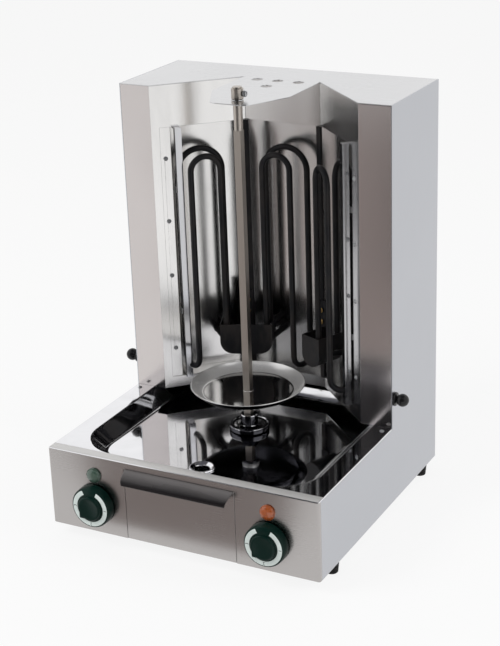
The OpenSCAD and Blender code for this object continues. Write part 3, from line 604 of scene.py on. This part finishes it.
def make_knob(side, body):
    x = KNOB_X * (1 if side == "right" else -1)
    matrix = place(x, 0, KNOB_Z, "-Y")
    bm = bmesh.new()
    lathe(bm, [(0, 1), (27.6, 1), (29, 2.2), (29, 4.2), (28.5, 13.2), (28.0, 14.2), (27.0, FACE), (0, FACE)],
          matrix, 96)
    outline = grip_outline()
    layered(bm, [(scaled(outline, 1.03), FACE - 0.2), (outline, FACE + 0.6), (outline, 18.0),
                 (scaled(outline, 0.975), 18.7), (scaled(outline, 0.93), 19.0), (scaled(outline, 0.80), 19.0),
                 (scaled(outline, 0.74), 18.6)], matrix)
    piece(bm, side + "_knob_body", KNOB, body, [side + "_knob"], "knob_green", 40)
    bm = bmesh.new()
    rings = []
    print_top = FACE + PRINT_T
    for radius, z in ((PRINT_IN, FACE), (PRINT_IN, print_top), (PRINT_OUT, print_top), (PRINT_OUT, FACE)):
        rings.append([bm.verts.new(matrix @ Vector((px, py, z)))
                      for px, py in arc((0, 0), radius, 90 + PRINT_GAP, 450 - PRINT_GAP, 72)])
    for a, b in zip(rings, rings[1:] + rings[:1]):
        for i in range(len(a) - 1):
            bm.faces.new((a[i], a[i + 1], b[i + 1], b[i]))
    for end in (0, -1):
        bm.faces.new([ring[end] for ring in rings])
    piece(bm, side + "_knob_scale", PRINT, body, slot="knob_green")
    middle = (PRINT_IN + PRINT_OUT) / 2
    for text, angle in (("1", 0), ("2", -90), ("3", 180)):
        a = math.radians(angle)
        number(text, x + middle * math.cos(a), KNOB_Z + middle * math.sin(a), NUMBER_SIZE,
               -FACE - NUMBER_LIFT, a - math.pi / 2, f"{side}_number_{text}", body)


make_knob("left", "left_knob")
make_knob("right", "right_knob")

LENS_PROFILE = [(0, -6), (6.6, -6), (6.6, 0), (9.7, 0), (9.7, 2.6), (9.2, 3.6), (7.6, 4.5), (5.2, 5.2),
                (2.5, 5.5), (0, 5.55)]
BEZEL_PROFILE = [(9.7, 0), (10.5, 0), (10.5, 2.2), (10.1, 2.9), (9.7, 2.9)]
for x, colour, material in ((-KNOB_X, "green", LENS_GREEN), (KNOB_X, "orange", LENS_ORANGE)):
    matrix = place(x, 0, LAMP_Z, "-Y")
    turned(colour + "_lens", LENS_PROFILE, matrix, material, "casing", 48, flutes=0.25, fluted=(5, 6),
           stands_for=[colour + "_lamp"], slot="lamp_" + colour)
    turned(colour + "_bezel", BEZEL_PROFILE, matrix, material, "casing", closed=True, slot="lamp_" + colour)

# ---------------------------------------------------------------- drawer handle

LIP_TOP, LIP_HALF, LIP_SLANT = 120.4, 80.0, math.tan(math.radians(16))


def make_handle():
    """One bent and hemmed lip, narrower below than above."""
    outside = [(0, 120.3), (-1.2, 119.9), (-4, 118.7), (-8, 116.8), (-12, 114.7), (-15, 112.6),
               (-16.9, 110.4), (-17.8, 108.2), (-18, 106.6), (-17.7, 105.2), (-16.9, 104.5), (-15.9, 104.4),
               (-15.2, 104.9), (-14.9, 105.9), (-15.3, 107.8), (-14.6, 109.6), (-12.6, 111.4), (-9, 113.3),
               (-4.5, 115.2), (0, 116.6)]
    bm = bmesh.new()
    rings = []
    for share in (-1.0, -0.995, -0.98, -0.5, 0.0, 0.5, 0.98, 0.995, 1.0):
        pinch = 0.12 if abs(share) == 1.0 else 0.0
        rings.append([bm.verts.new(at(share * (LIP_HALF - (LIP_TOP - z) * LIP_SLANT), y, z - pinch))
                      for y, z in outside])
    skin_rings(bm, rings)
    bm.faces.new(rings[0])
    bm.faces.new(rings[-1])
    piece(bm, "handle_lip", LIP_PAINTED_SHADE, "drawer", ["drawer_handle"], "handle_black", 50)


make_handle()

# ---------------------------------------------------------------- clamp knobs, feet and cable gland

CLAMP_Y, CLAMP_Z = 242.0, 171.0
BALL_R, BALL_OUT = 8.8, 11.8
ball = [(BALL_R * math.sin(math.radians(a)), BALL_OUT + BALL_R * math.cos(math.radians(a)))
        for a in range(148, -1, -4)]
NECK_PROFILE = [(0, -13), (3, -13), (3, 0.3), (8.8, 0.3), (9.5, 1), (9.5, 2.4), (8.9, 3.2), (5.4, 3.8),
                (4.7, 4.4)]
for side, sign, out in (("left", -1, "-X"), ("right", 1, "+X")):
    turned(side + "_ball_knob", NECK_PROFILE + ball, place(sign * BODY_HALF, CLAMP_Y, CLAMP_Z, out), BALL,
           side + "_clamp", stands_for=[side + "_clamp_knob"], slot="ball_black", sharp=30)

FOOT_X, FOOT_ROWS = 188.0, (60.0, 366.0)
FOOT_PROFILE = [(2.6, 6), (5, 6), (5, 0.4), (5.4, 0), (7.8, 0), (8.5, 0.7), (8.9, 4.2), (8.5, 4.8),
                (8.6, 5.6), (9.1, 6.2), (9.4, 9.2), (9.0, 9.8), (9.1, 10.6), (9.6, 11.2), (10.1, 16.6),
                (10.4, 17.2), (10.4, 18), (2.6, 18)]
bm = bmesh.new()
for x in (-FOOT_X, FOOT_X):
    for y in FOOT_ROWS:
        lathe(bm, FOOT_PROFILE, place(x, y, 0), 40, closed=True)
piece(bm, "feet", RUBBER, "casing", ["rubber_feet"], "rubber")

GLAND_X, GLAND_Z = 140.0, 60.0
bm = bmesh.new()
gland = place(GLAND_X, BODY_D, GLAND_Z, "+Y")
lathe(bm, [(4, -6.2), (10.2, -6.2), (10.5, -5.8), (10.5, -1.5), (8, -1.2), (8, 0), (4, 0)], gland, 6, True)
lathe(bm, [(4, 0), (10.4, 0), (11, 0.6), (11, 4.4), (10.4, 5), (4, 5)], gland, 6, True)
lathe(bm, [(4, 5), (9, 5), (9, 9), (8.6, 10.5), (7.6, 12.4), (6.2, 13.7), (5, 14), (4, 14)], gland, 32, True,
      flutes=0.4, fluted=(1, 2, 3))
piece(bm, "gland", PHENOLIC, "casing", ["cable_gland"], "regulator_black")

# ---------------------------------------------------------------- screws

CHAMBER_SCREW_S, CHAMBER_SCREW_Z = 19, (190, 300, 380, 470)
BACK_SCREW_X, BACK_SCREW_Z = 190.8, (40, 150, 300, 450, 556)
DECK_SCREW_X, DECK_SCREW_Y = 190.0, 222
COVER_SCREW_IN, COVER_SCREW_Z = (-5, -10, 0), (252, 235)
COVER_SCREW_R, COVER_SCREW_H = 3.6, 1.8


def screw_head(bm, matrix, radius=3.2, height=2.0):
    """Domed head with a cross recess; its height runs along the local Z axis."""
    steps, rings = 32, []
    for share in (1.0, 1.0, 0.88, 0.66, 0.52, 0.3):
        z = 0 if not rings else height * (1 - share ** 2.6) + 0.35 * (share == 1.0)
        ring = []
        for i in range(steps):
            arm = min(i % 8, 8 - i % 8) <= 1 and share <= 0.52
            a = TAU * i / steps
            spot = Vector((radius * share * math.cos(a), radius * share * math.sin(a), z - 0.9 * arm))
            ring.append(bm.verts.new(matrix @ spot))
        rings.append(ring)
    rings.append([bm.verts.new(matrix @ Vector((0, 0, height - 1.0)))])
    skin_rings(bm, rings)


def wall_place(s, t, z, mirrored):
    """Local frame on a chamber wall whose Z axis points into the chamber."""
    inward = -OUT
    turn = Matrix.Rotation(math.atan2(inward.y, inward.x), 4, "Z") @ Matrix.Rotation(math.pi / 2, 4, "Y")
    matrix = Matrix.Translation(left_wall(s, t, z)) @ turn
    if mirrored:
        matrix = Matrix.Scale(-1, 4, (1, 0, 0)) @ matrix
    return TO_FRAME @ matrix


bm = bmesh.new()
for mirrored in (False, True):
    for z in CHAMBER_SCREW_Z:
        screw_head(bm, wall_place(CHAMBER_SCREW_S, SHEET, z, mirrored))
piece(bm, "chamber_screw_heads", ZINC, "casing", ["chamber_screws"], "zinc", 50)
bm = bmesh.new()
for x in (-BACK_SCREW_X, BACK_SCREW_X):
    for z in BACK_SCREW_Z:
        screw_head(bm, place(x, BODY_D, z, "+Y"))
for x in (-DECK_SCREW_X, DECK_SCREW_X):
    screw_head(bm, place(x, DECK_SCREW_Y, RIM_Z))
piece(bm, "casing_screw_heads", ZINC, "casing", ["casing_screws"], "zinc", 50)

CORNER_TURN = math.atan2(ALONG.y, ALONG.x) / 2
bm = bmesh.new()
for side in (-1, 1):
    for z in COVER_SCREW_Z:
        matrix = Matrix.Translation((WALL_END.x, WALL_END.y, z)) @ Matrix.Rotation(CORNER_TURN, 4, "Z")
        matrix = matrix @ Matrix.Translation(COVER_SCREW_IN) @ Matrix.Rotation(math.pi / 2, 4, "X")
        if side > 0:
            matrix = Matrix.Scale(-1, 4, (1, 0, 0)) @ matrix
        screw_head(bm, TO_FRAME @ matrix, COVER_SCREW_R, COVER_SCREW_H)
piece(bm, "cover_screw_heads", BRONZE, "casing", slot="zinc", sharp=50)

# ---------------------------------------------------------------- studio

FLOOR_LIGHT, SKY_LIGHT = 0.85, 0.55


def stage_mesh(name, corners, material, sides=4):
    mesh = bpy.data.meshes.new(name)
    mesh.from_pydata(corners, [], [tuple(range(i, i + sides)) for i in range(0, len(corners), sides)])
    mesh.materials.append(material)
    ob = bpy.data.objects.new(name, mesh)
    bpy.context.scene.collection.objects.link(ob)
    return ob


def seen_directly(tree):
    """1 for a ray from the camera, a mirrored ray and a ray let through, and 0 for stray light."""
    path = tree.nodes.new("ShaderNodeLightPath")
    seen = path.outputs["Is Camera Ray"]
    for name in ("Is Glossy Ray", "Is Transmission Ray"):
        either = tree.nodes.new("ShaderNodeMath")
        either.operation = "MAXIMUM"
        tree.links.new(seen, either.inputs[0])
        tree.links.new(path.outputs[name], either.inputs[1])
        seen = either.outputs[0]
    return seen


def glowing(name, colour, share=None):
    """Surface that glows evenly; with a share, only that much and only for rays seen directly."""
    s = Shader(name, (0.9, 0.9, 0.9), 0.0, 0.9)
    s.base.inputs["Specular IOR Level"].default_value = 0.0
    glow = s.add("ShaderNodeEmission", {"Color": (*colour, 1), "Strength": 1.0})
    if share is None:
        s.tree.links.new(glow, s.tree.nodes["Material Output"].inputs[0])
        return s.material
    seen = s.add("ShaderNodeMath", {0: seen_directly(s.tree), 1: share}, operation="MULTIPLY")
    mix = s.tree.nodes.new("ShaderNodeMixShader")
    s.tree.links.new(seen, mix.inputs[0])
    s.tree.links.new(s.base.outputs[0], mix.inputs[1])
    s.tree.links.new(glow, mix.inputs[2])
    s.tree.links.new(mix.outputs[0], s.tree.nodes["Material Output"].inputs[0])
    return s.material


def flat(outline, z):
    return [(x, y, z) for x, y in outline]


FLOOR_HALF = 6
floor_plan = [(-FLOOR_HALF, -FLOOR_HALF), (FLOOR_HALF, -FLOOR_HALF), (FLOOR_HALF, FLOOR_HALF),
              (-FLOOR_HALF, FLOOR_HALF)]
stage_mesh("floor", flat(floor_plan, 0), glowing("studio_floor", (1, 1, 1), FLOOR_LIGHT))

# What shows only in the polished sheets, in metres: a dim room behind the camera, a dim ceiling, and
# on the floor in front a brown cloth with a small grey one and a large black one beside it.
ROOM_FAR, ROOM_LOW, ROOM_HIGH, CEILING_Z, CLOTH_Z, TOP_CLOTH_Z = 3.4, 0.05, 4.6, 3.6, 0.002, 0.003
ROOM_START, ROOM_STEP, ROOM_PANELS = -30, 9, 9
room = []
for i in range(ROOM_PANELS):
    start = ROOM_START + ROOM_STEP * i
    end = start + ROOM_STEP
    for azimuth, z in ((start, ROOM_LOW), (end, ROOM_LOW), (end, ROOM_HIGH), (start, ROOM_HIGH)):
        a = math.radians(azimuth)
        room.append((ROOM_FAR * math.sin(a), -ROOM_FAR * math.cos(a), z))
ceiling = [(-2, -1.9), (2, -1.9), (2, 2), (-2, 2)]
grey = [(-1.00, -1.70), (-1.26, -2.26), (-1.02, -2.26), (-0.80, -1.70)]
brown = [(0.12, -0.25), (-0.16, -0.25), (-0.34, -0.46), (-0.43, -0.58), (-0.50, -0.66), (-0.57, -0.77),
         (-0.66, -0.97), (-1.05, -1.70), (-1.45, -2.45), (-0.75, -2.45), (-0.35, -1.40), (-0.02, -0.62)]
black = [(0.24, -0.72), (0.62, -1.05), (1.50, -2.45), (-0.75, -2.45), (-0.35, -1.40), (-0.02, -0.62)]
for name, corners, colour, sides in (
    ("dim_room", room, (0.012, 0.012, 0.014), 4),
    ("dim_ceiling", flat(ceiling, CEILING_Z), (0.09, 0.09, 0.10), 4),
    ("grey_cloth", flat(grey, TOP_CLOTH_Z), (0.15, 0.14, 0.14), 4),
    ("brown_cloth", flat(brown, CLOTH_Z), (0.34, 0.30, 0.29), len(brown)),
    ("black_cloth", flat(black, CLOTH_Z), (0.03, 0.03, 0.035), len(black)),
):
    ob = stage_mesh(name, corners, glowing("studio_" + name, colour), sides)
    ob.visible_camera = False
    ob.visible_diffuse = False
    ob.visible_shadow = False

world = bpy.data.worlds.new("studio")
bpy.context.scene.world = world
world.use_nodes = True
tree = world.node_tree
background = tree.nodes["Background"]
background.inputs["Color"].default_value = (1, 1, 1, 1)
strength = tree.nodes.new("ShaderNodeMapRange")
tree.links.new(seen_directly(tree), strength.inputs[0])
strength.inputs[3].default_value = SKY_LIGHT
strength.inputs[4].default_value = 1.0
tree.links.new(strength.outputs[0], background.inputs["Strength"])


def lamp(name, position, target, size, power):
    light = bpy.data.lights.new(name, "AREA")
    light.shape, light.size, light.energy = "SQUARE", size, power
    ob = bpy.data.objects.new(name, light)
    ob.location = position
    ob.rotation_euler = (Vector(target) - Vector(position)).to_track_quat("-Z", "Y").to_euler()
    ob.visible_glossy = False
    bpy.context.scene.collection.objects.link(ob)


lamp("key", (-1.4, -1.5, 2.2), (0, 0, 0.2), 1.3, 26)
lamp("fill", (2.2, 0.2, 1.6), (0, 0, 0.25), 1.4, 16)

# ---------------------------------------------------------------- camera

YAW, PITCH, ROLL = (math.radians(a) for a in (28.13, 21.03, -2.05))
CAMERA_PLACE = (940, -1546, 1028)
SENSOR, FOCAL_PX, PICTURE_HEIGHT_PX = 36, 1566, 646
ahead = Vector((-math.sin(YAW) * math.cos(PITCH), math.cos(YAW) * math.cos(PITCH), -math.sin(PITCH)))
level = Vector((math.cos(YAW), math.sin(YAW), 0))
upward = level.cross(ahead)
right = level * math.cos(ROLL) + upward * math.sin(ROLL)
upward = upward * math.cos(ROLL) - level * math.sin(ROLL)
camera_data = bpy.data.cameras.new("camera")
camera = bpy.data.objects.new("camera", camera_data)
bpy.context.scene.collection.objects.link(camera)
turn = Matrix((right, upward, -ahead)).transposed().to_4x4()
camera.matrix_world = Matrix.Translation(at(*CAMERA_PLACE)) @ turn
camera_data.sensor_width = SENSOR
camera_data.lens = FOCAL_PX / PICTURE_HEIGHT_PX * SENSOR
bpy.context.scene.camera = camera

bpy.context.scene.view_settings.view_transform = "Standard"

bpy.context.view_layer.update()
